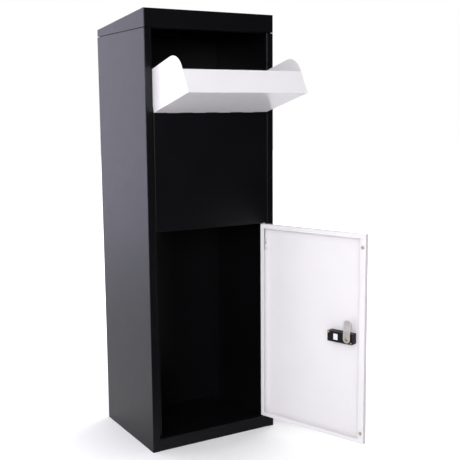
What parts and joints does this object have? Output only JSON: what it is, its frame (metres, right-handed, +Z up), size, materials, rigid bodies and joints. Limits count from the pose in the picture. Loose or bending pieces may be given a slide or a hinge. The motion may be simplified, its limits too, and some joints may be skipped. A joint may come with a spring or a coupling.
{
  "type": "parcel drop box",
  "caption": "Free-standing steel parcel drop box with a tilting hopper above and a lockable collection door below.",
  "frame": {"origin": "centre of the cabinet's underside, the middle of the floor anchor holes", "axes": "+Z up, the front with its hopper and door faces -Y, +X to the right as seen from the front"},
  "size_m": [0.4729, 0.6202, 1.1498],
  "materials": {
    "black_steel": "fine-textured black powder coat",
    "white_steel": "semi-gloss white powder coat",
    "zinc_steel": "zinc-plated steel",
    "rubber": "black rubber",
    "beige_nylon": "beige nylon",
    "black_plastic": "moulded black plastic",
    "dial_plastic": "moulded black plastic with white digits",
    "brass": "yellow-passivated screw",
    "label": "blank white label"
  },
  "bodies": {
    "cabinet": {"left_side_panel": "black_steel", "right_side_panel": "black_steel", "base_pan": "black_steel", "back_panel": "black_steel", "middle_panel": "black_steel", "panel_rivets": "zinc_steel", "roof_cap": "black_steel", "roof_ring": "black_steel", "roof_screws": "black_steel", "hopper_stop_pads": "rubber", "hopper_hinge_fixed_leaf": "black_steel", "hopper_hinge_wire": "zinc_steel", "lower_hinge_pin": "zinc_steel", "lower_hinge_washer": "beige_nylon"},
    "hopper": {"hopper_flap": "white_steel", "hopper_left_cheek": "white_steel", "hopper_right_cheek": "white_steel", "hopper_hinge_moving_leaf": "white_steel"},
    "door": {"door_panel": "white_steel", "door_hinge_bracket": "white_steel", "door_bumpers": "beige_nylon", "lock_case": "black_plastic", "lock_bezel": "black_plastic", "lock_dial_axle": "zinc_steel", "lock_label": "label", "lock_case_screws": "brass", "upper_pin_spring": "zinc_steel"},
    "upper_pin": {"upper_hinge_pin": "zinc_steel", "upper_pin_clip": "zinc_steel"},
    "lock_core": {"lock_spindle": "zinc_steel", "lock_knob": "black_plastic", "lock_cam": "zinc_steel", "cam_screw": "brass"},
    "dial_1": {"lock_dial_1": "dial_plastic"},
    "dial_2": {"lock_dial_2": "dial_plastic"},
    "dial_3": {"lock_dial_3": "dial_plastic"},
    "dial_4": {"lock_dial_4": "dial_plastic"}
  },
  "joints": [
    {"name": "hopper_hinge", "type": "hinge", "parent": "cabinet", "child": "hopper", "pos_m": [0, -0.152, 0.895], "axis": [1, 0, 0], "range_deg": [-76.3, 0]},
    {"name": "door_hinge", "type": "hinge", "parent": "cabinet", "child": "door", "pos_m": [0.1625, -0.15, 0], "axis": [0, 0, 1], "range_deg": [-109.1, 5]},
    {"name": "upper_pin_slide", "type": "slide", "parent": "door", "child": "upper_pin", "axis": [0, 0, 1], "range_m": [-0.012, 0], "stiffness_N_per_m": 300, "springref_m": 0.02, "deforming": ["upper_pin_spring"]},
    {"name": "lock_core_turn", "type": "hinge", "parent": "door", "child": "lock_core", "pos_m": [0.26048, -0.41767, 0.311], "axis": [0.9449, 0.3272, 0], "range_deg": [0, 90]},
    {"name": "dial_1_turn", "type": "hinge", "parent": "door", "child": "dial_1", "pos_m": [0.25091, -0.39982, 0.311], "axis": [-0.3272, 0.9449, 0], "continuous": true},
    {"name": "dial_2_turn", "type": "hinge", "parent": "door", "child": "dial_2", "pos_m": [0.24764, -0.39037, 0.311], "axis": [-0.3272, 0.9449, 0], "continuous": true},
    {"name": "dial_3_turn", "type": "hinge", "parent": "door", "child": "dial_3", "pos_m": [0.24437, -0.38092, 0.311], "axis": [-0.3272, 0.9449, 0], "continuous": true},
    {"name": "dial_4_turn", "type": "hinge", "parent": "door", "child": "dial_4", "pos_m": [0.2411, -0.37147, 0.311], "axis": [-0.3272, 0.9449, 0], "continuous": true}
  ]
}
